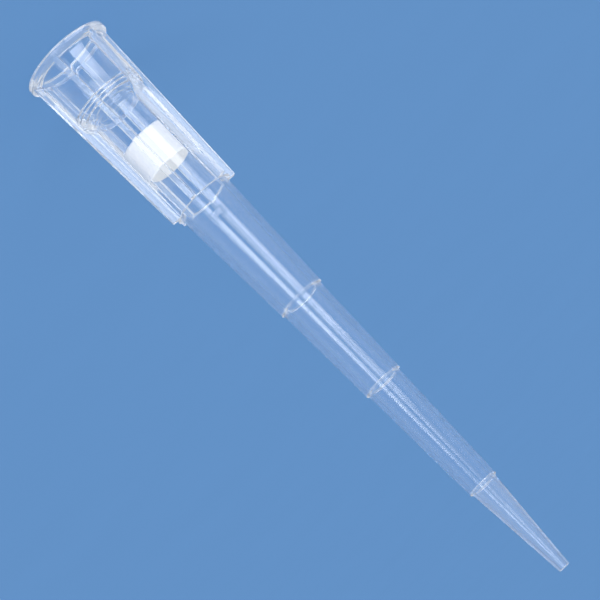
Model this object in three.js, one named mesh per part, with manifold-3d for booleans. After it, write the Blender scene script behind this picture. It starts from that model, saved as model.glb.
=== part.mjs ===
// A graduated filter pipette tip: one clear moulding with a flanged mouth, outside ribs and shoulders that
// mark volumes, and a porous plug pressed into its bore.
// Millimetres, +Z up. The tip stands on its mouth rim with the point up. The origin is the rim's centre.
import * as THREE from "three";
import { mergeVertices } from "three/addons/utils/BufferGeometryUtils.js";
import Module from "manifold-3d";

const wasm = await Module();
wasm.setup();

// Mouth: the bore that grips a pipette's cone, and the flange round its rim
const mouthBoreRadius = 3.05;
const mouthWall = 0.32;
const leadInWidth = 0.05;
const leadInDepth = 0.1;
const flangeOverhang = 0.65;
const flangeThickness = 0.8;
const flangeBackChamfer = 0.28;
const flangeRootFillet = 0.2;
const lipRound = 0.17;

// Seal: steps that grow finer from the end of the cone's seat to the plug seat's bore, where the wall shoulders in
const mouthSectionLength = 5.75;
const sealBoreRadius = 2.9;
const sealWall = 0.34;
const sealLead = 0.93;
const sealStepCount = 5;
const sealStepPitch = 0.29;
const sealStepRise = 0.09;
const shoulderLength = 0.8;
const shoulderRound = 0.5;
const shoulderRoundAngle = 50; // degrees that the round turns before the slope

// Plug seat: the straight bore behind the seal, up to the end of the ribs and a little beyond
const seatBoreRadius = 2.1;
const seatWall = 0.46;
const collarLength = 16.55;
const collarWall = 0.51;
const boreStepBeyondCollar = 1.5;
const boreStepRadius = 1.96;
const boreStepDepth = 0.1;
const boreStepLength = 0.9;

// Ribs: radial plates from the flange to the end of the collar
const ribCount = 6;
const ribThickness = 0.5;
const ribRiseAtMouth = 0.51;
const ribRiseAtEnd = 0.84;

// Shelf: the thin ring round the wall at the collar's end, flush with the ribs' ends
const shelfRise = 0.3;
const shelfEdge = 0.06;
const shelfUnderside = 0.06;

// Raised line round the tube on each graduation shoulder
const lineRise = 0.035;
const lineWidth = 0.16;

// Graduations, from mouth to point: the tube before each shoulder, and the bore and the wall at the shoulder
const firstTubeLength = 11.38;
const firstBoreRadius = 1.45;
const firstWall = 0.66;
const secondTubeLength = 9.32;
const secondBoreRadius = 1.24;
const secondWall = 0.52;
const thirdTubeLength = 11.22;
const thirdBoreRadius = 0.9;
const thirdWall = 0.435;
const shoulderDrop = 0.14;

// Point
const pointLength = 8.95;
const pointBoreRadius = 0.25;
const pointWall = 0.235;

// Porous plug
const plugSetback = 3.43;
const plugLength = 3.25;
const plugChamfer = 0.14;
const plugClearance = 0.02;

// Facets round the axis, facets in a rounded corner, and how far a cutter runs past the face it opens
const segments = 72;
const cornerFacets = 4;
const overrun = 1;

// Heights and radii that follow from the sizes above
const flangeRadius = mouthBoreRadius + mouthWall + flangeOverhang;
const sealStart = mouthSectionLength - sealLead;
const seatStart = sealStart + (sealStepCount - 1) * sealStepPitch + sealStepRise;
const boreStepHeight = collarLength + boreStepBeyondCollar;
const graduations = [
  { tubeLength: firstTubeLength, boreRadius: firstBoreRadius, wall: firstWall },
  { tubeLength: secondTubeLength, boreRadius: secondBoreRadius, wall: secondWall },
  { tubeLength: thirdTubeLength, boreRadius: thirdBoreRadius, wall: thirdWall },
];
const stations = placeGraduations();
const tipLength = stations.at(-1).height + pointLength;
const borePoints = boreProfile();

// Adds each graduation's height to it.
function placeGraduations() {
  let height = collarLength;
  return graduations.map((graduation) => {
    height += graduation.tubeLength;
    return { ...graduation, height };
  });
}

// The bore as [radius, height] points, from the mouth rim to the point.
function boreProfile() {
  const points = [
    [mouthBoreRadius + leadInWidth, 0],
    [mouthBoreRadius, leadInDepth],
  ];
  const finestStep = (sealBoreRadius - seatBoreRadius) / ((sealStepCount * (sealStepCount + 1)) / 2);
  let sealRadius = sealBoreRadius;
  for (let i = 0; i < sealStepCount; i++) {
    const height = sealStart + i * sealStepPitch;
    points.push([sealRadius, height]);
    sealRadius -= (sealStepCount - i) * finestStep;
    points.push([sealRadius, height + sealStepRise]);
  }
  points.push([boreStepRadius, boreStepHeight]);
  points.push([boreStepRadius - boreStepDepth, boreStepHeight + boreStepLength]);
  stations.forEach(({ boreRadius, height }) => points.push([boreRadius, height]));
  points.push([pointBoreRadius, tipLength]);
  return points;
}

// The bore's radius at a height, read off its profile.
function boreRadiusAt(height) {
  const next = borePoints.findIndex((point, i) => i > 0 && point[1] >= height);
  const [lowRadius, lowHeight] = borePoints[next - 1];
  const [highRadius, highHeight] = borePoints[next];
  return THREE.MathUtils.mapLinear(height, lowHeight, highHeight, lowRadius, highRadius);
}

// Points along a quarter turn about a centre, from one angle to another, in degrees.
function corner(radius, height, round, from, to) {
  return Array.from({ length: cornerFacets + 1 }, (_, i) => {
    const angle = THREE.MathUtils.degToRad(THREE.MathUtils.lerp(from, to, i / cornerFacets));
    return [radius + round * Math.cos(angle), height + round * Math.sin(angle)];
  });
}

// The flange's outline: the flat rim, its rounded lip, the chamfered back and the fillet down to the wall.
function flangeOutline() {
  const wallRadius = mouthBoreRadius + mouthWall;
  return [
    ...corner(flangeRadius - lipRound, lipRound, lipRound, -90, 0),
    [flangeRadius, flangeThickness - flangeBackChamfer],
    [flangeRadius - flangeBackChamfer, flangeThickness],
    ...corner(
      wallRadius + flangeRootFillet,
      flangeThickness + flangeRootFillet,
      flangeRootFillet,
      270,
      180,
    ),
  ];
}

// The wall's outline from the mouth section, in at the shoulder, and along the plug seat to the collar's shelf.
function collarOutline() {
  const seatRadius = seatBoreRadius + seatWall;
  const collarRadius = boreRadiusAt(collarLength) + collarWall;
  const shoulderEnd = mouthSectionLength + shoulderLength;
  return [
    ...corner(
      sealBoreRadius + sealWall - shoulderRound,
      mouthSectionLength,
      shoulderRound,
      0,
      shoulderRoundAngle,
    ),
    [seatRadius, shoulderEnd],
    [collarRadius, collarLength - shelfEdge - shelfUnderside],
    [collarRadius + shelfRise, collarLength - shelfEdge],
    [collarRadius + shelfRise, collarLength],
    [collarRadius, collarLength],
  ];
}

// A low rounded line round the tube, lineWidth long, centred on a height.
function raisedLine(radius, height) {
  return [
    [radius + lineRise, height - lineWidth / 4],
    [radius + lineRise, height + lineWidth / 4],
  ];
}

// The tube's outline: each graduation is a raised line with a shoulder just beyond it.
function tubeOutline() {
  const outline = [];
  stations.forEach(({ boreRadius, wall, height }) => {
    const radius = boreRadius + wall;
    outline.push([radius, height - lineWidth]);
    outline.push(...raisedLine(radius, height - lineWidth / 2));
    outline.push([radius - shoulderDrop, height + shoulderDrop / 2]);
  });
  outline.push([pointBoreRadius + pointWall, tipLength]);
  return outline;
}

// A closed solid turned about the Z axis from [radius, height] points that start and end on the axis.
function turned(points) {
  const profile = points.map(([radius, height]) => new THREE.Vector2(radius, height));
  return solidOf(new THREE.LatheGeometry(profile, segments).rotateX(Math.PI / 2));
}

// A geometry as a manifold-3d solid. Triangles that shrink to a line where the profile meets the axis go.
function solidOf(geometry) {
  geometry.deleteAttribute("normal");
  geometry.deleteAttribute("uv");
  const merged = mergeVertices(geometry, 1e-5);
  const corners = Array.from(merged.index ? merged.index.array : merged.attributes.position.array.keys());
  const triVerts = [];
  for (let i = 0; i < corners.length; i += 3) {
    const [a, b, c] = corners.slice(i, i + 3);
    if (a !== b && b !== c && c !== a) triVerts.push(a, b, c);
  }
  return new wasm.Manifold(
    new wasm.Mesh({
      numProp: 3,
      vertProperties: merged.attributes.position.array,
      triVerts: Uint32Array.from(triVerts),
    }),
  );
}

// One rib: a plate in the plane through the axis, cut square at the collar's end and rooted in the flange.
function rib(angle) {
  const start = flangeThickness / 2;
  const mouthEdge = mouthBoreRadius + mouthWall + ribRiseAtMouth;
  const endEdge = boreRadiusAt(collarLength) + collarWall + ribRiseAtEnd;
  const startEdge = THREE.MathUtils.mapLinear(start, flangeThickness, collarLength, mouthEdge, endEdge);
  const rootRadius = boreStepRadius / 2;
  const outline = new THREE.Shape([
    new THREE.Vector2(rootRadius, start),
    new THREE.Vector2(startEdge, start),
    new THREE.Vector2(endEdge, collarLength),
    new THREE.Vector2(rootRadius, collarLength),
  ]);
  const plate = new THREE.ExtrudeGeometry(outline, { depth: ribThickness, bevelEnabled: false });
  plate.translate(0, 0, -ribThickness / 2).rotateX(Math.PI / 2).rotateZ(angle);
  return solidOf(plate);
}

// The moulding: the outside and its ribs, with the bore cut through both.
function bodySolid() {
  const outside = [[0, 0], ...flangeOutline(), ...collarOutline(), ...tubeOutline(), [0, tipLength]];
  let solid = turned(outside);
  for (let i = 0; i < ribCount; i++) {
    solid = solid.add(rib((i * 2 * Math.PI) / ribCount));
  }
  const mouthRadius = borePoints[0][0];
  const bore = [
    [0, -overrun],
    [mouthRadius, -overrun],
    ...borePoints,
    [pointBoreRadius, tipLength + overrun],
    [0, tipLength + overrun],
  ];
  return solid.subtract(turned(bore));
}

// The plug: it follows the bore's slight taper, less the clearance, and its edges are chamfered.
function plugSolid() {
  const start = seatStart + plugSetback;
  const end = start + plugLength;
  const startRadius = boreRadiusAt(start) - plugClearance;
  const endRadius = boreRadiusAt(end) - plugClearance;
  return turned([
    [0, start],
    [startRadius - plugChamfer, start],
    [startRadius, start + plugChamfer],
    [endRadius, end - plugChamfer],
    [endRadius - plugChamfer, end],
    [0, end],
  ]);
}

// A named mesh from a solid.
function meshOf(name, solid, material) {
  const { vertProperties, triVerts } = solid.getMesh();
  const geometry = new THREE.BufferGeometry();
  geometry.setAttribute("position", new THREE.BufferAttribute(vertProperties, 3));
  geometry.setIndex(new THREE.BufferAttribute(triVerts, 1));
  const mesh = new THREE.Mesh(geometry, material);
  mesh.name = name;
  return mesh;
}

const clearPlastic = new THREE.MeshStandardMaterial({
  color: 0xdde8f4,
  roughness: 0.12,
  metalness: 0,
  transparent: true,
  opacity: 0.4,
});
const porousPlastic = new THREE.MeshStandardMaterial({ color: 0xf6f6f4, roughness: 0.9, metalness: 0 });

const pipetteTip = new THREE.Group();
pipetteTip.add(meshOf("tip_body", bodySolid(), clearPlastic));
pipetteTip.add(meshOf("filter_plug", plugSolid(), porousPlastic));

export default pipetteTip;
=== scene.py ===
"""A graduated filter pipette tip: a clear moulding with a porous plug in its bore, and a stage for it.

The tip stands on its mouth rim with its point up. Everything is in metres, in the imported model's frame.
"""

from math import atan2, cos, hypot, pi, radians, sin, tau

import bmesh
import bpy
from bpy.props import FloatProperty, FloatVectorProperty, IntProperty, PointerProperty
from mathutils import Matrix, Vector, noise


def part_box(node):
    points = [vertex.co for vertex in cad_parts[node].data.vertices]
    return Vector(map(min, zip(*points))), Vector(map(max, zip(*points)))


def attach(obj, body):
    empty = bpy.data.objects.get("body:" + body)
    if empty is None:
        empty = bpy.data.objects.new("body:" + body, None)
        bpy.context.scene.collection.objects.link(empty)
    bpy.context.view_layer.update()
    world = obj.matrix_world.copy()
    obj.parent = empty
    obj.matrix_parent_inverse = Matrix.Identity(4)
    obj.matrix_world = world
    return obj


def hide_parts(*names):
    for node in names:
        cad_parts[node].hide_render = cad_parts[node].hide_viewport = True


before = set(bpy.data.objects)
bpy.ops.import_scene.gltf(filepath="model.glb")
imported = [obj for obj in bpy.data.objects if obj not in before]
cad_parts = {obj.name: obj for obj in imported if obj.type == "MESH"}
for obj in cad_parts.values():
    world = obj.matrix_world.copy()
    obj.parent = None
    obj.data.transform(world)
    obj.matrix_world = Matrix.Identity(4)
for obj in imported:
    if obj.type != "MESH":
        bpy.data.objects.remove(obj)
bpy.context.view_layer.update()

bl_info = {
    "name": "Filter Pipette Tip",
    "version": (1, 0, 0),
    "blender": (4, 5, 0),
    "location": "View3D > Sidebar > Pipette Tip",
    "description": "Builds a graduated pipette tip with its porous plug, and a stage to see it on",
    "category": "Add Mesh",
}

MM = 0.001
_, BODY_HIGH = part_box("tip_body")
PLUG_LOW, PLUG_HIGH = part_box("filter_plug")

# Facets: columns round the axis, columns from a rib's middle to its side, and segments in a rounded corner
COLUMNS = 180
RIB_HALF_COLUMNS = 3
CORNER_SEGMENTS = 4

# Small sizes of the moulding, which keep their value when its main sizes change
LEAD_IN_WIDTH, LEAD_IN_DEPTH = 0.05 * MM, 0.1 * MM
BACK_CHAMFER, BACK_DRAFT = 0.28 * MM, 0.02 * MM
SEAL_LEAD, SEAL_PITCH, SEAL_RISE = 0.93 * MM, 0.29 * MM, 0.09 * MM
SHOULDER_CORNER, SHOULDER_LENGTH = 0.23 * MM, 0.8 * MM
BORE_STEP_BEYOND_COLLAR, BORE_STEP_RADIUS = 1.5 * MM, 1.96 * MM
BORE_STEP_LENGTH, BORE_STEP_DEPTH = 0.9 * MM, 0.1 * MM
SHELF_EDGE = 0.06 * MM
LINE_WIDTH, GRADUATION_DROP = 0.16 * MM, 0.14 * MM

# Tolerances for welding and for picking out a rib's vertices, and the round on a rib's edges
WELD, RIB_WELD = 0.0001 * MM, 0.0005 * MM
RIB_TOLERANCE, RIB_EDGE_DEPTH = 0.002 * MM, 0.03 * MM
RIB_EDGE_ROUND = 0.05 * MM


def length(name, description, default, **extra):
    """A length property, in metres."""
    return FloatProperty(
        name=name, description=description, default=default, min=0.0, unit="LENGTH", precision=5, **extra
    )


def lengths(name, description, millimetres):
    """A row of lengths, in metres, from the mouth to the point."""
    return FloatVectorProperty(
        name=name,
        description=description,
        default=[value * MM for value in millimetres],
        size=len(millimetres),
        min=0.0,
        unit="LENGTH",
        precision=5,
    )


def share(name, description, default, top=1.0):
    """A plain number from 0 to a top value."""
    return FloatProperty(
        name=name, description=description, default=default, min=0.0, max=top, subtype="FACTOR"
    )


def colour(name, description, default):
    """A colour property, as linear red, green and blue."""
    return FloatVectorProperty(
        name=name, description=description, default=default, size=3, min=0.0, max=1.0, subtype="COLOR"
    )


class MouldingSizes(bpy.types.PropertyGroup):
    """Sizes of the clear moulding"""

    flange_radius: length("Flange radius", "Outside radius of the rim's flange", BODY_HIGH.x)
    flange_thickness: length("Flange thickness", "Thickness of the rim's flange", 0.8 * MM)
    mouth_bore_radius: length("Mouth bore", "Radius of the bore just inside the rim", 3.05 * MM)
    mouth_wall: length("Mouth wall", "Wall behind the flange", 0.32 * MM)
    mouth_length: length("Mouth length", "Height at which the mouth section ends", 5.75 * MM)
    seal_bore_radius: length("Seal bore", "Radius of the bore at the seal steps", 2.9 * MM)
    seal_wall: length("Seal wall", "Wall at the end of the mouth section", 0.34 * MM)
    seal_steps: IntProperty(name="Seal steps", description="Small steps in the bore", default=5, min=1, max=6)
    seat_bore_radius: length("Seat bore", "Radius of the bore in front of the plug", 2.1 * MM)
    seat_wall: length("Seat wall", "Wall in front of the plug", 0.46 * MM)
    collar_length: length("Collar length", "Height at which the ribs end", 16.55 * MM)
    collar_wall: length("Collar wall", "Wall where the ribs end", 0.51 * MM)
    rib_count: IntProperty(name="Ribs", description="Ribs round the collar", default=6, min=1, max=12)
    rib_thickness: length("Rib thickness", "Thickness of a rib", 0.5 * MM)
    rib_rise_at_mouth: length("Rib rise at mouth", "How far a rib stands out behind the flange", 0.51 * MM)
    rib_rise_at_end: length("Rib rise at end", "How far a rib stands out at its end", 0.84 * MM)
    shelf_rise: length("Shelf rise", "How far the shelf at the ribs' end stands out", 0.3 * MM)
    graduation_heights: lengths("Graduations", "Heights of the three graduations", (27.93, 37.25, 48.47))
    graduation_bores: lengths("Graduation bores", "Bore radii at the graduations", (1.45, 1.24, 0.9))
    graduation_walls: lengths("Graduation walls", "Walls at the graduations", (0.66, 0.52, 0.435))
    line_rise: length("Line rise", "How far a graduation line is raised", 0.035 * MM)
    point_bore_radius: length("Point bore", "Radius of the bore at the point", 0.25 * MM)
    point_wall: length("Point wall", "Wall at the point", 0.235 * MM)
    tip_length: length("Tip length", "Length from rim to point", BODY_HIGH.z)


class PlugSizes(bpy.types.PropertyGroup):
    """Sizes of the porous plug"""

    radius: length("Plug radius", "Radius of the plug at its mouth end", PLUG_HIGH.x)
    press: length("Press", "How far the plug is pressed into the wall", 0.045 * MM)
    start: length("Plug start", "Height at which the plug starts", PLUG_LOW.z)
    end: length("Plug end", "Height at which the plug ends", PLUG_HIGH.z)
    edge_round: length("Edge round", "Radius of the plug's worn edges", 0.16 * MM)
    grain: length("Grain", "Size of the sintered grains", 0.16 * MM)
    grain_depth: length("Grain depth", "Depth of the hollows between grains", 0.022 * MM)


class TipLook(bpy.types.PropertyGroup):
    """Colours and finishes of the tip"""

    plastic_colour: colour("Plastic", "Tint of the clear plastic", (0.93, 0.965, 1.0))
    plastic_flow_colour: colour("Flow marks", "Tint along the plastic's flow marks", (0.9, 0.94, 0.99))
    # The milk colour also paints the highlight on the ribs and the raised lines
    milk_and_highlight_colour: colour("Milk", "Colour of the plastic's faint milkiness", (0.82, 0.88, 0.98))
    plug_colour: colour("Plug", "Colour of the plug's grains", (0.98, 0.95, 0.92))
    # The hollow colour is painted shade between the plug's grains
    plug_hollow_shade_colour: colour("Plug hollows", "Colour between the plug's grains", (0.86, 0.86, 0.87))


class StageLook(bpy.types.PropertyGroup):
    """The floor, the light from all round and the camera"""

    floor_colour: colour("Floor", "Colour of the floor and of the background", (0.15, 0.335, 0.66))
    surround: share("Surround", "Brightness of the light from all round", 0.6, 2.0)
    lens: FloatProperty(
        name="Lens", description="Focal length of the camera", default=183.0, min=1.0, unit="CAMERA"
    )


# ---------------------------------------------------------------- outlines


class Outline:
    """A closed outline of the moulding's wall in the X-Z plane, with rounded corners, ready to be turned."""

    def __init__(self):
        self.mesh = bmesh.new()
        self.rounds = []

    def add(self, radius, height, rounded=0.0):
        """Adds a corner at a radius and height. A round is given as how far from the corner it starts."""
        vertex = self.mesh.verts.new((radius, 0.0, height))
        if rounded:
            self.rounds.append((vertex, rounded))

    def close(self):
        """Joins the corners in order, rounds them, and hands back the mesh."""
        corners = list(self.mesh.verts)
        for first, second in zip(corners, corners[1:] + corners[:1]):
            self.mesh.edges.new((first, second))
        for vertex, offset in self.rounds:
            bmesh.ops.bevel(
                self.mesh,
                geom=[vertex],
                offset=offset,
                offset_type="OFFSET",
                segments=CORNER_SEGMENTS,
                profile=0.5,
                affect="VERTICES",
                material=-1,
                clamp_overlap=True,
            )
        return self.mesh


def turn(mesh, columns):
    """Turns an outline once round the Z axis, and points its faces outwards."""
    bmesh.ops.spin(
        mesh,
        geom=mesh.verts[:] + mesh.edges[:],
        cent=(0, 0, 0),
        axis=(0, 0, 1),
        angle=tau,
        steps=columns,
        use_merge=True,
    )
    bmesh.ops.remove_doubles(mesh, verts=mesh.verts[:], dist=WELD)
    bmesh.ops.recalc_face_normals(mesh, faces=mesh.faces[:])


def finished_piece(name, mesh, material, node):
    """A mesh as a smooth piece that rides on the tip and stands for its CAD node."""
    data = bpy.data.meshes.new(name)
    mesh.to_mesh(data)
    mesh.free()
    data.materials.append(material)
    data.shade_smooth()
    piece = bpy.data.objects.new(name, data)
    bpy.context.scene.collection.objects.link(piece)
    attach(piece, "root")
    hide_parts(node)
    return piece


# ---------------------------------------------------------------- clear moulding


def lerp_line(height, low_height, high_height, low, high):
    """The value at a height on a straight line between two heights. The height may be a node's value."""
    return low + (high - low) * (height - low_height) / (high_height - low_height)


def moulding_outline(sizes):
    """The wall's section, up the outside and down the bore, and the height at which the ribs start."""
    outline = Outline()
    wall_radius = sizes.mouth_bore_radius + sizes.mouth_wall

    # Rim and flange
    back_radius, back_height = sizes.flange_radius - BACK_CHAMFER, sizes.flange_thickness - BACK_DRAFT
    outline.add(sizes.mouth_bore_radius + LEAD_IN_WIDTH, 0.0, rounded=0.02 * MM)
    outline.add(sizes.flange_radius, 0.0, rounded=0.17 * MM)
    outline.add(sizes.flange_radius, sizes.flange_thickness - BACK_CHAMFER - BACK_DRAFT, rounded=0.06 * MM)
    rib_start_radius = wall_radius + sizes.rib_rise_at_mouth
    rib_start = back_height - (rib_start_radius - back_radius)
    outline.add(rib_start_radius, rib_start)
    outline.add(back_radius, back_height, rounded=0.05 * MM)
    outline.add(wall_radius, sizes.flange_thickness, rounded=0.18 * MM)

    # Mouth section, shoulder and collar
    seal_radius = sizes.seal_bore_radius + sizes.seal_wall
    seat_radius = sizes.seat_bore_radius + sizes.seat_wall
    outline.add(seal_radius, sizes.mouth_length + SHOULDER_CORNER, rounded=0.5 * MM)
    outline.add(seat_radius, sizes.mouth_length + SHOULDER_LENGTH, rounded=0.15 * MM)
    collar_radius = bore_radius(sizes, sizes.collar_length) + sizes.collar_wall
    shelf_radius = collar_radius + sizes.shelf_rise
    outline.add(collar_radius, sizes.collar_length - 2.0 * SHELF_EDGE)
    outline.add(shelf_radius, sizes.collar_length - SHELF_EDGE)
    outline.add(shelf_radius, sizes.collar_length)
    outline.add(collar_radius, sizes.collar_length)

    # Graduated tube and point
    for height, bore, wall in zip(sizes.graduation_heights, sizes.graduation_bores, sizes.graduation_walls):
        radius = bore + wall
        outline.add(radius, height - LINE_WIDTH, rounded=0.015 * MM)
        outline.add(radius + sizes.line_rise, height - 0.4 * LINE_WIDTH, rounded=0.04 * MM)
        outline.add(radius - GRADUATION_DROP, height + GRADUATION_DROP / 2, rounded=0.1 * MM)
    outline.add(sizes.point_bore_radius + sizes.point_wall, sizes.tip_length, rounded=0.07 * MM)

    # Bore, from the point back to the rim
    for radius, height, rounded in reversed(bore_corners(sizes)):
        outline.add(radius, height, rounded)
    return outline.close(), rib_start


def bore_corners(sizes):
    """The bore's corners from the lead-in to the point, as radius, height and round."""
    lead_round, seal_round, point_round = 0.05 * MM, 0.02 * MM, 0.03 * MM
    soft_round, tube_round = 0.4 * MM, 0.3 * MM
    corners = [(sizes.mouth_bore_radius, LEAD_IN_DEPTH, lead_round)]

    # The seal's steps grow finer towards the plug's seat
    seal_start = sizes.mouth_length - SEAL_LEAD
    seal_radius = sizes.seal_bore_radius
    finest_step = (seal_radius - sizes.seat_bore_radius) / sum(range(sizes.seal_steps + 1))
    for i in range(sizes.seal_steps):
        height = seal_start + i * SEAL_PITCH
        corners.append((seal_radius, height, seal_round))
        seal_radius -= (sizes.seal_steps - i) * finest_step
        corners.append((seal_radius, height + SEAL_RISE, seal_round))

    # A soft step beyond the collar, the tube and the point
    bore_step = sizes.collar_length + BORE_STEP_BEYOND_COLLAR
    corners.append((BORE_STEP_RADIUS, bore_step, soft_round))
    corners.append((BORE_STEP_RADIUS - BORE_STEP_DEPTH, bore_step + BORE_STEP_LENGTH, soft_round))
    for height, bore in zip(sizes.graduation_heights, sizes.graduation_bores):
        corners.append((bore, height, tube_round))
    corners.append((sizes.point_bore_radius, sizes.tip_length, point_round))
    return corners


def bore_radius(sizes, height):
    """The bore's radius at a height, read off its corners."""
    corners = bore_corners(sizes)
    for (low, low_height, _), (high, high_height, _) in zip(corners, corners[1:]):
        if low_height <= height <= high_height:
            return lerp_line(height, low_height, high_height, low, high)
    raise ValueError(f"no bore at height {height}")


def faces_outwards(face):
    """Whether a face looks away from the Z axis."""
    middle = face.calc_center_median()
    return face.normal.dot(Vector((middle.x, middle.y, 0))) > 0


def raise_ribs(mesh, sizes, rib_start):
    """Extrudes the ribs from the collar's outside: parallel plates, square at the collar's end."""
    pitch = tau / COLUMNS
    half = sizes.rib_thickness / 2
    wall_radius = sizes.mouth_bore_radius + sizes.mouth_wall
    start_x = wall_radius + sizes.rib_rise_at_mouth
    end_x = bore_radius(sizes, sizes.collar_length) + sizes.collar_wall + sizes.rib_rise_at_end
    top = sizes.collar_length

    for rib in range(sizes.rib_count):
        along = Matrix.Rotation(rib * tau / sizes.rib_count, 3, "Z")
        back = along.inverted()

        def column(vertex):
            local = back @ vertex.co
            return atan2(local.y, local.x) / pitch

        def under_rib(vertex):
            in_band = rib_start - RIB_TOLERANCE <= vertex.co.z <= top + RIB_TOLERANCE
            return in_band and abs(column(vertex)) < RIB_HALF_COLUMNS + 0.5

        def on_cap(place):
            cap_x = lerp_line(place.z, rib_start, top, start_x, end_x)
            return (
                place.x > 0
                and abs(place.x - cap_x) < RIB_EDGE_DEPTH
                and rib_start - RIB_TOLERANCE < place.z < top + RIB_TOLERANCE
                and abs(place.y) < half + RIB_TOLERANCE
            )

        # The stretch of the outside wall that the rib stands on, drawn in to the rib's width
        wall = [
            face
            for face in mesh.faces
            if all(under_rib(v) for v in face.verts) and faces_outwards(face)
        ]
        for vertex in {v for face in wall for v in face.verts}:
            local = back @ vertex.co
            radius = hypot(local.x, local.y)
            side = half * round(column(vertex)) / RIB_HALF_COLUMNS
            vertex.co = along @ Vector(((radius**2 - side**2) ** 0.5, side, local.z))

        # Its copy becomes the rib's outer face
        grown = bmesh.ops.extrude_face_region(mesh, geom=wall)["geom"]
        bmesh.ops.delete(mesh, geom=wall, context="FACES")
        cap = [item for item in grown if isinstance(item, bmesh.types.BMVert)]
        for vertex in cap:
            local = back @ vertex.co
            if local.z > rib_start + RIB_TOLERANCE:
                local.x = lerp_line(local.z, rib_start, top, start_x, end_x)
                vertex.co = along @ local
        bmesh.ops.remove_doubles(mesh, verts=mesh.verts[:], dist=RIB_WELD)

        # Facets that lie flat together become one face
        cap = [v for v in cap if v.is_valid]
        cap_faces = {f for v in cap for f in v.link_faces}
        flat = [e for f in cap_faces for e in f.edges if all(g in cap_faces for g in e.link_faces)]
        bmesh.ops.dissolve_limit(
            mesh,
            angle_limit=radians(0.4),
            verts=cap,
            edges=list(set(flat)),
            use_dissolve_boundaries=False,
        )

        # The sharp edges round the outer face are rounded
        edges = [
            edge
            for edge in mesh.edges
            if len(edge.link_faces) == 2
            and edge.calc_face_angle(0.0) >= radians(60)
            and all(on_cap(back @ v.co) for v in edge.verts)
        ]
        bmesh.ops.bevel(
            mesh,
            geom=edges,
            offset=RIB_EDGE_ROUND,
            offset_type="OFFSET",
            segments=2,
            profile=0.5,
            affect="EDGES",
            material=-1,
            clamp_overlap=True,
        )


class PIPETTETIP_OT_moulding(bpy.types.Operator):
    """Turn the clear moulding's wall and raise its ribs"""

    bl_idname = "pipettetip.moulding"
    bl_label = "Clear Moulding"

    def execute(self, context):
        sizes = context.scene.tip_moulding
        mesh, rib_start = moulding_outline(sizes)
        turn(mesh, COLUMNS)
        raise_ribs(mesh, sizes, rib_start)
        if any(not edge.is_manifold for edge in mesh.edges):
            raise RuntimeError("the moulding has an open edge")
        material = clear_plastic(context.scene.tip_look, sizes)
        piece = finished_piece("clear_moulding", mesh, material, "tip_body")
        piece.data.set_sharp_from_angle(angle=radians(50))
        weighted = piece.modifiers.new("Weighted normals", "WEIGHTED_NORMAL")
        weighted.mode = "FACE_AREA"
        weighted.weight = 100
        weighted.keep_sharp = True
        return {"FINISHED"}


# ---------------------------------------------------------------- porous plug


# How much the plug's radius shrinks for each unit of its length, the length of its facets, and an offset that
# keeps its fine grain apart from its coarse one
PLUG_TAPER = 0.012
PLUG_FACET = 0.08 * MM
GRAIN_OFFSET = Vector((7.0, 3.0, 5.0))


def press_grain(mesh, sizes):
    """Presses hollows between grains into the plug, never outwards, so that it stays inside its bore."""
    mesh.normal_update()
    moves = []
    for vertex in mesh.verts:
        at = vertex.co / sizes.grain
        coarse = noise.noise(at * 0.35)
        fine = noise.noise(at + GRAIN_OFFSET)
        depth = max(0.0, 0.55 + 0.35 * coarse + 0.9 * fine)
        moves.append((vertex, vertex.normal * -depth * sizes.grain_depth))
    for vertex, move in moves:
        vertex.co += move


class PIPETTETIP_OT_plug(bpy.types.Operator):
    """Turn the porous plug, round its edges and press its grain"""

    bl_idname = "pipettetip.plug"
    bl_label = "Porous Plug"

    def execute(self, context):
        sizes = context.scene.tip_plug
        taper = (sizes.end - sizes.start) * PLUG_TAPER
        mesh = bmesh.new()
        corners = [
            mesh.verts.new(place)
            for place in (
                (0.0, 0.0, sizes.start),
                (sizes.radius + sizes.press, 0.0, sizes.start),
                (sizes.radius + sizes.press - taper, 0.0, sizes.end),
                (0.0, 0.0, sizes.end),
            )
        ]
        for first, second in zip(corners, corners[1:]):
            mesh.edges.new((first, second))
        bmesh.ops.bevel(
            mesh,
            geom=corners[1:3],
            offset=sizes.edge_round,
            offset_type="OFFSET",
            segments=CORNER_SEGMENTS,
            profile=0.5,
            affect="VERTICES",
            material=-1,
        )
        for edge in [e for e in mesh.edges if e.calc_length() > sizes.edge_round]:
            bmesh.ops.subdivide_edges(mesh, edges=[edge], cuts=int(edge.calc_length() / PLUG_FACET))
        turn(mesh, COLUMNS)
        press_grain(mesh, sizes)
        material = porous_plastic(context.scene.tip_look)
        finished_piece("porous_plug", mesh, material, "filter_plug")
        return {"FINISHED"}


# ---------------------------------------------------------------- materials


class Value:
    """A number socket: arithmetic on it adds Math nodes."""

    def __init__(self, finish, socket):
        self.finish = finish
        self.socket = socket

    def _math(self, operation, first, second):
        node = self.finish.add("ShaderNodeMath", {"operation": operation}, {0: first, 1: second})
        return Value(self.finish, node.outputs[0])

    def __add__(self, other):
        return self._math("ADD", self, other)

    def __radd__(self, other):
        return self._math("ADD", other, self)

    def __sub__(self, other):
        return self._math("SUBTRACT", self, other)

    def __rsub__(self, other):
        return self._math("SUBTRACT", other, self)

    def __mul__(self, other):
        return self._math("MULTIPLY", self, other)

    def __rmul__(self, other):
        return self._math("MULTIPLY", other, self)

    def __truediv__(self, other):
        return self._math("DIVIDE", self, other)

    def __gt__(self, other):
        return self._math("GREATER_THAN", self, other)

    def __lt__(self, other):
        return self._math("LESS_THAN", self, other)

    def __pow__(self, other):
        return self._math("POWER", self, other)


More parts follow.
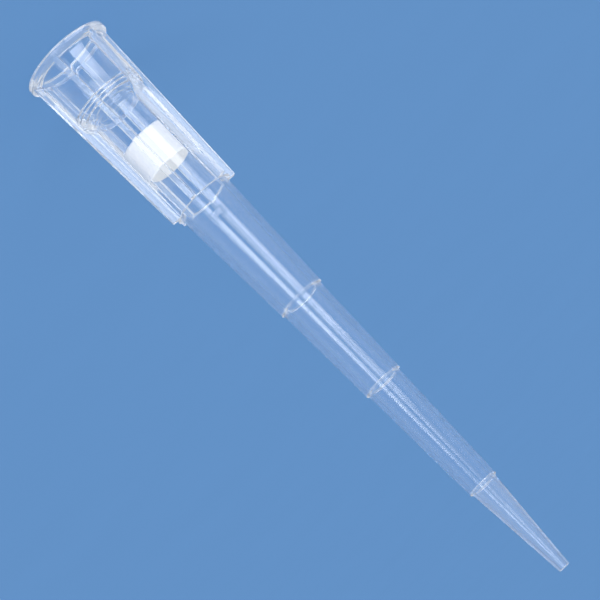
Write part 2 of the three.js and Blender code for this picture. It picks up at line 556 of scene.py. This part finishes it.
class Finish:
    """A material or world under construction."""

    def __init__(self, owner):
        owner.use_nodes = True
        self.owner = owner
        self.tree = owner.node_tree
        self.tree.nodes.clear()

    def add(self, kind, settings=None, inputs=None):
        """Adds a node: its settings first, then its sockets' values and links."""
        node = self.tree.nodes.new(kind)
        for key, setting in (settings or {}).items():
            setattr(node, key, setting)
        for key, source in (inputs or {}).items():
            source = source.socket if isinstance(source, Value) else source
            if isinstance(source, bpy.types.NodeSocket):
                self.tree.links.new(source, node.inputs[key])
            else:
                node.inputs[key].default_value = source
        return node

    def value(self, node, output=0):
        return Value(self, node.outputs[output])

    def noise(self, scale, detail, stretch=(1.0, 1.0, 1.0)):
        """Noise on Object coordinates, with scale in grains per metre."""
        place = self.add("ShaderNodeTexCoord").outputs["Object"]
        mapped = self.add("ShaderNodeMapping", None, {"Vector": place, "Scale": stretch})
        node = self.add(
            "ShaderNodeTexNoise", None, {"Vector": mapped.outputs[0], "Scale": scale, "Detail": detail}
        )
        return self.value(node, "Fac")

    def mix(self, factor, first, second):
        """A colour between two colours."""
        node = self.add("ShaderNodeMix", {"data_type": "RGBA"}, {"Factor": factor, 6: first, 7: second})
        return node.outputs[2]


def rgba(tone):
    return (*tone, 1.0)


# How strongly both plastics bend light
REFRACTION = 1.49


def clear_plastic(look, sizes):
    """Clear polypropylene: glassy, with flow marks along the tip and turning marks round it.

    It is a little cloudy, most where a look passes through it at a slant or where the plastic is thick. The
    extra milk on the ribs is partly painted highlight, and on the raised lines it is painted highlight."""
    finish = Finish(bpy.data.materials.new("Clear plastic"))
    flow = finish.noise(scale=2600.0, detail=2.0, stretch=(1.0, 1.0, 0.035))
    cloud = finish.noise(scale=900.0, detail=3.0)
    turning = finish.noise(scale=5200.0, detail=1.0, stretch=(0.12, 0.12, 1.0))
    tint = finish.mix(flow, rgba(look.plastic_colour), rgba(look.plastic_flow_colour))
    roughness = 0.02 + 0.05 * flow * cloud
    bump = finish.add(
        "ShaderNodeBump",
        None,
        {"Strength": 0.012, "Distance": 0.01 * MM, "Height": flow + 0.35 * turning + 0.25 * cloud},
    )
    clear = finish.add(
        "ShaderNodeBsdfPrincipled",
        None,
        {
            "Base Color": tint,
            "Roughness": roughness,
            "IOR": REFRACTION,
            "Transmission Weight": 1.0,
            "Normal": bump.outputs[0],
        },
    )
    # This milk layer also carries the painted highlight on the ribs and the raised lines
    milk_and_highlight = finish.add(
        "ShaderNodeBsdfPrincipled",
        None,
        {
            "Base Color": rgba(look.milk_and_highlight_colour),
            "Roughness": roughness,
            "IOR": REFRACTION,
            "Normal": bump.outputs[0],
        },
    )
    share_of_milk_and_highlight = milkiness_and_highlight(finish, sizes, cloud)
    shares = {0: share_of_milk_and_highlight, 1: clear.outputs[0], 2: milk_and_highlight.outputs[0]}
    body = finish.add("ShaderNodeMixShader", None, shares)

    # Shadows and bounced light pass straight through, nearly unweakened
    path = finish.add("ShaderNodeLightPath")
    unbent = finish.value(path, "Is Shadow Ray") + finish.value(path, "Is Diffuse Ray")
    passing = finish.add("ShaderNodeBsdfTransparent", None, {"Color": (0.97, 0.98, 0.99, 1.0)})
    mixed = finish.add("ShaderNodeMixShader", None, {0: unbent, 1: body.outputs[0], 2: passing.outputs[0]})
    finish.add("ShaderNodeOutputMaterial", None, {"Surface": mixed.outputs[0]})
    return finish.owner


# What each cause adds to the plastic's milk or takes from it, and how far past an edge a feature still
# counts. The rib shares are partly painted highlight, and the line share is painted highlight.
EVEN_MILK, SLANT_MILK, RIB_MILK_AND_HIGHLIGHT, FLANGE_RIB_MILK_AND_HIGHLIGHT = 0.018, 0.17, 0.13, -0.04
POINT_MILK, POINT_SLANT_MILK, LINE_PAINTED_HIGHLIGHT = 0.02, 0.15, 0.06
SHOULDER_MARGIN, WALL_MARGIN, COLLAR_MARGIN, FLANGE_MARGIN = 0.05 * MM, 0.08 * MM, 0.01 * MM, 0.15 * MM


def milkiness_and_highlight(finish, sizes, cloud):
    """How much milk the plastic shows: more at a slant, in the ribs, in the point and on the raised lines.
    The milk on the ribs is partly painted highlight, and on the raised lines it is painted highlight.
    """
    slant = finish.value(finish.add("ShaderNodeLayerWeight", None, {"Blend": 0.5}), "Facing")
    place = finish.add("ShaderNodeTexCoord").outputs["Object"]
    parts = finish.add("ShaderNodeSeparateXYZ", None, {0: place})
    x, y, z = (finish.value(parts, axis) for axis in "XYZ")
    radius = (x * x + y * y) ** 0.5

    # The wall's outer radius, taken as one straight line along the mouth section and one along the collar
    mouth_wall = lerp_line(
        z,
        0.0,
        sizes.mouth_length,
        sizes.mouth_bore_radius + sizes.mouth_wall,
        sizes.seal_bore_radius + sizes.seal_wall,
    )
    collar_wall = lerp_line(
        z,
        sizes.mouth_length,
        sizes.collar_length,
        sizes.seat_bore_radius + sizes.seat_wall,
        bore_radius(sizes, sizes.collar_length) + sizes.collar_wall,
    )
    in_mouth = z < sizes.mouth_length + SHOULDER_LENGTH + SHOULDER_MARGIN
    wall = collar_wall + in_mouth * (mouth_wall - collar_wall)
    rib = (radius > wall + WALL_MARGIN) * (z < sizes.collar_length + COLLAR_MARGIN)
    in_flange = z < sizes.flange_thickness + FLANGE_MARGIN
    in_point = z > sizes.graduation_heights[-1]
    # The raised lines' band, where a highlight is painted
    line = 0.0
    for height in sizes.graduation_heights:
        line = line + (z > height - LINE_WIDTH) * (z < height)
    return (
        EVEN_MILK
        + SLANT_MILK * slant * (0.7 + 0.6 * cloud)
        # The ribs' extra milk is partly thick plastic and partly painted highlight, taken back a little in
        # the flange
        + RIB_MILK_AND_HIGHLIGHT * rib
        + FLANGE_RIB_MILK_AND_HIGHLIGHT * rib * in_flange
        + in_point * (POINT_MILK + POINT_SLANT_MILK * slant**3)
        # The raised lines' share is painted highlight
        + LINE_PAINTED_HIGHLIGHT * line
    )


def porous_plastic(look):
    """Sintered white polyethylene: matt grains, with painted shade greying the hollows between them."""
    finish = Finish(bpy.data.materials.new("Porous plastic"))
    grain = finish.noise(scale=6500.0, detail=2.0)
    patch = finish.noise(scale=1500.0, detail=2.0)
    # Painted shade: the tint greys where the grain's bump is low
    hollow = 1.0 - (0.75 * grain + 0.35 * patch)
    tint = finish.mix(hollow, rgba(look.plug_colour), rgba(look.plug_hollow_shade_colour))
    bump = finish.add(
        "ShaderNodeBump", None, {"Strength": 0.35, "Distance": 0.03 * MM, "Height": grain + 0.5 * patch}
    )
    surface = finish.add(
        "ShaderNodeBsdfPrincipled",
        None,
        {
            "Base Color": tint,
            "Roughness": 0.82 + 0.16 * hollow,
            "IOR": REFRACTION,
            "Normal": bump.outputs[0],
        },
    )
    finish.add("ShaderNodeOutputMaterial", None, {"Surface": surface.outputs[0]})
    return finish.owner


# ---------------------------------------------------------------- stage


def floor_finish(look):
    """Plain matt paper."""
    finish = Finish(bpy.data.materials.new("Floor"))
    fibre = finish.noise(scale=60.0, detail=2.0)
    tint = finish.mix(fibre, rgba([0.97 * c for c in look.floor_colour]), rgba(look.floor_colour))
    surface = finish.add(
        "ShaderNodeBsdfPrincipled",
        None,
        {"Base Color": tint, "Roughness": 1.0, "Specular IOR Level": 0.0},
    )
    finish.add("ShaderNodeOutputMaterial", None, {"Surface": surface.outputs[0]})
    return finish.owner


def surround_light(look):
    """Even light from all round, a little cooler than white."""
    world = bpy.data.worlds.new("Surround")
    bpy.context.scene.world = world
    finish = Finish(world)
    settings = {"Color": rgba((0.92, 0.96, 1.0)), "Strength": look.surround}
    light = finish.add("ShaderNodeBackground", None, settings)
    finish.add("ShaderNodeOutputWorld", None, {"Surface": light.outputs[0]})


def soft_light(name, heading, elevation, spread, brightness, tone):
    """A wide soft light from a heading. Its height above the floor and its spread are in degrees.

    It has no mirror image in the plastic. Its place doesn't matter and only keeps it clear of the tip."""
    data = bpy.data.lights.new(name, "SUN")
    data.angle = radians(spread)
    data.color = tone
    data.energy = brightness * pi
    piece = bpy.data.objects.new(name, data)
    toward = heading * cos(radians(elevation)) + Vector((0, 0, sin(radians(elevation))))
    piece.rotation_euler = toward.to_track_quat("Z", "Y").to_euler()
    piece.location = LIGHT_DISTANCE * toward
    piece.visible_glossy = False
    bpy.context.scene.collection.objects.link(piece)
    return piece


# Distances from the tip that part the reflection cards on the floor. The farther out a card lies, the higher
# up the tip its mirror image shows, so each distance is named after what is about that high.
RIM_REACH, SEAL_REACH, PLUG_REACH, COLLAR_REACH = 4.1 * MM, 21 * MM, 56 * MM, 85 * MM
TUBE_REACH, LAST_LINE_REACH, POINT_REACH = 250 * MM, 430 * MM, 900 * MM

# Reflection cards: name, first and last angle from the camera's heading, brightness, and near and far edge
FLOOR_CARDS = (
    ("mouth_left_card", -48, -14, 5.6, RIM_REACH, SEAL_REACH),
    ("seat_left_card", -48, -14, 3.8, SEAL_REACH, COLLAR_REACH),
    ("mouth_right_card", 4, 30, 1.6, RIM_REACH, COLLAR_REACH),
    ("rib_card", 68, 92, 0.8, RIM_REACH, COLLAR_REACH),
    ("back_card", 120, 240, 0.8, RIM_REACH, PLUG_REACH),
    ("left_edge_card", -40, -26, 5.6, COLLAR_REACH, TUBE_REACH),
    ("left_card", -26, -12, 2.8, COLLAR_REACH, TUBE_REACH),
    ("left_inner_card", -12, -1, 1.3, COLLAR_REACH, TUBE_REACH),
    ("right_inner_card", 9, 14, 2.4, COLLAR_REACH, TUBE_REACH),
    ("right_card", 14, 27, 3.8, COLLAR_REACH, TUBE_REACH),
    ("right_edge_card", 27, 40, 1.2, COLLAR_REACH, TUBE_REACH),
    ("far_left_edge_card", -40, -26, 3.2, TUBE_REACH, LAST_LINE_REACH),
    ("far_left_card", -26, -1, 1.7, TUBE_REACH, LAST_LINE_REACH),
    ("far_right_card", 9, 27, 2.2, TUBE_REACH, LAST_LINE_REACH),
    ("far_right_edge_card", 27, 40, 0.8, TUBE_REACH, LAST_LINE_REACH),
    ("point_left_card", -40, -4, 0.8, LAST_LINE_REACH, POINT_REACH),
    ("point_right_card", 9, 34, 0.7, LAST_LINE_REACH, POINT_REACH),
)

# The upright card behind the tip, in metres and degrees from the camera's heading
CURTAIN_DISTANCE, CURTAIN_LOW, CURTAIN_HIGH = 0.9, 0.05, 0.6
CURTAIN_START, CURTAIN_END, CURTAIN_BRIGHTNESS = 90, 270, 0.9

# An arc has a point about every so many degrees
ARC_STEP = 10


def arc(heading, start, end, distance, height):
    """Points round the tip from one angle off a heading to another, in degrees."""
    steps = max(2, round((end - start) / ARC_STEP))
    angles = [radians(start + (end - start) * i / steps) for i in range(steps + 1)]
    lift = Vector((0, 0, height))
    return [Matrix.Rotation(angle, 3, "Z") @ (heading * distance) + lift for angle in angles]


def reflection_card(name, low_arc, high_arc, brightness):
    """A glowing sheet between two arcs. Only reflections see it."""
    mesh = bmesh.new()
    low = [mesh.verts.new(point) for point in low_arc]
    high = [mesh.verts.new(point) for point in high_arc]
    for i in range(len(low) - 1):
        mesh.faces.new((low[i], low[i + 1], high[i + 1], high[i]))
    data = bpy.data.meshes.new(name)
    mesh.to_mesh(data)
    mesh.free()
    finish = Finish(bpy.data.materials.new(name))
    path = finish.add("ShaderNodeLightPath")
    mirrored = finish.value(path, "Glossy Depth") > 0.5
    scattered = finish.value(path, "Diffuse Depth") > 0.5
    shown = mirrored * (1.0 - scattered)
    clear = finish.add("ShaderNodeBsdfTransparent")
    glow = finish.add("ShaderNodeEmission", None, {"Color": rgba((0.94, 0.96, 1.0)), "Strength": brightness})
    seen = finish.add("ShaderNodeMixShader", None, {0: shown, 1: clear.outputs[0], 2: glow.outputs[0]})
    finish.add("ShaderNodeOutputMaterial", None, {"Surface": seen.outputs[0]})
    data.materials.append(finish.owner)
    card = bpy.data.objects.new(name, data)
    card.visible_camera = card.visible_diffuse = card.visible_shadow = False
    bpy.context.scene.collection.objects.link(card)


# The camera: its direction from the tip, its turn round its line of sight, its distance, and what it aims at,
# as a height on the tip's axis and a shift to the right
CAMERA_AZIMUTH, CAMERA_ELEVATION, CAMERA_ROLL = radians(-10.0), radians(11.2), radians(135.65)
CAMERA_DISTANCE = 240.95 * MM
AIM_HEIGHT, AIM_SHIFT = 27.85 * MM, 0.178 * MM
SENSOR_WIDTH, CLIP_START, CLIP_END = 36.0, 0.01, 20.0

# The floor's radius, and how far it lies below the rim so that the two don't share a plane, in metres
FLOOR_RADIUS, FLOOR_DROP = 3.0, 0.03 * MM

# How far from the origin a light is drawn, in metres
LIGHT_DISTANCE = 0.3


def camera_frame():
    """The direction from the tip to the camera, and level and upward directions across its view."""
    flat = cos(CAMERA_ELEVATION)
    backward = Vector((flat * cos(CAMERA_AZIMUTH), flat * sin(CAMERA_AZIMUTH), sin(CAMERA_ELEVATION)))
    right = Vector((-sin(CAMERA_AZIMUTH), cos(CAMERA_AZIMUTH), 0.0))
    return backward, right, backward.cross(right)


class PIPETTETIP_OT_stage(bpy.types.Operator):
    """Lay the floor, place the light and the reflection cards, and set up the camera"""

    bl_idname = "pipettetip.stage"
    bl_label = "Stage"

    def execute(self, context):
        scene = context.scene
        look = scene.tip_stage

        mesh = bmesh.new()
        below = Matrix.Translation((0, 0, -FLOOR_DROP))
        bmesh.ops.create_circle(mesh, cap_ends=True, radius=FLOOR_RADIUS, segments=96, matrix=below)
        data = bpy.data.meshes.new("floor")
        mesh.to_mesh(data)
        mesh.free()
        data.materials.append(floor_finish(look))
        floor = bpy.data.objects.new("floor", data)
        scene.collection.objects.link(floor)

        surround_light(look)
        backward, right, up = camera_frame()
        ahead = Vector((backward.x, backward.y, 0.0)).normalized()
        soft_light("front_light", ahead, elevation=20, spread=50, brightness=0.88, tone=(1.0, 0.96, 0.91))
        for name, start, end, brightness, near, far in FLOOR_CARDS:
            near_arc, far_arc = (arc(ahead, start, end, distance, 0.0) for distance in (near, far))
            reflection_card(name, near_arc, far_arc, brightness)
        low_arc, high_arc = (
            arc(ahead, CURTAIN_START, CURTAIN_END, CURTAIN_DISTANCE, height)
            for height in (CURTAIN_LOW, CURTAIN_HIGH)
        )
        reflection_card("back_curtain_card", low_arc, high_arc, CURTAIN_BRIGHTNESS)

        data = bpy.data.cameras.new("Camera")
        data.lens = look.lens
        data.sensor_width = SENSOR_WIDTH
        data.clip_start, data.clip_end = CLIP_START, CLIP_END
        camera = bpy.data.objects.new("Camera", data)
        scene.collection.objects.link(camera)
        aim = Vector((0.0, 0.0, AIM_HEIGHT)) + right * AIM_SHIFT
        camera.location = aim + backward * CAMERA_DISTANCE
        picture_right = right * cos(CAMERA_ROLL) + up * sin(CAMERA_ROLL)
        picture_up = up * cos(CAMERA_ROLL) - right * sin(CAMERA_ROLL)
        camera.rotation_euler = Matrix((picture_right, picture_up, backward)).transposed().to_euler()
        scene.camera = camera

        scene.view_settings.view_transform = "Standard"
        # A look through the ribs crosses many walls of clear plastic
        light_paths = scene.cycles
        light_paths.max_bounces = 32
        light_paths.transmission_bounces = 32
        light_paths.glossy_bounces = 32
        light_paths.transparent_max_bounces = 16
        return {"FINISHED"}


# ---------------------------------------------------------------- panel and registration


class PIPETTETIP_PT_panel(bpy.types.Panel):
    """The pieces of the pipette tip and their sizes"""

    bl_label = "Pipette Tip"
    bl_idname = "PIPETTETIP_PT_panel"
    bl_space_type = "VIEW_3D"
    bl_region_type = "UI"
    bl_category = "Pipette Tip"

    def draw(self, context):
        for operator, group in (
            (PIPETTETIP_OT_moulding, context.scene.tip_moulding),
            (PIPETTETIP_OT_plug, context.scene.tip_plug),
            (PIPETTETIP_OT_stage, context.scene.tip_stage),
        ):
            box = self.layout.box()
            box.operator(operator.bl_idname)
            for key in group.bl_rna.properties.keys():
                if key not in ("rna_type", "name"):
                    box.prop(group, key)


CLASSES = (
    MouldingSizes,
    PlugSizes,
    TipLook,
    StageLook,
    PIPETTETIP_OT_moulding,
    PIPETTETIP_OT_plug,
    PIPETTETIP_OT_stage,
    PIPETTETIP_PT_panel,
)


def register():
    for entry in CLASSES:
        bpy.utils.register_class(entry)
    bpy.types.Scene.tip_moulding = PointerProperty(type=MouldingSizes)
    bpy.types.Scene.tip_plug = PointerProperty(type=PlugSizes)
    bpy.types.Scene.tip_look = PointerProperty(type=TipLook)
    bpy.types.Scene.tip_stage = PointerProperty(type=StageLook)


def unregister():
    del bpy.types.Scene.tip_stage
    del bpy.types.Scene.tip_look
    del bpy.types.Scene.tip_plug
    del bpy.types.Scene.tip_moulding
    for entry in reversed(CLASSES):
        bpy.utils.unregister_class(entry)


def main():
    register()
    bpy.ops.pipettetip.moulding()
    bpy.ops.pipettetip.plug()
    bpy.ops.pipettetip.stage()


if __name__ == "__main__":
    main()
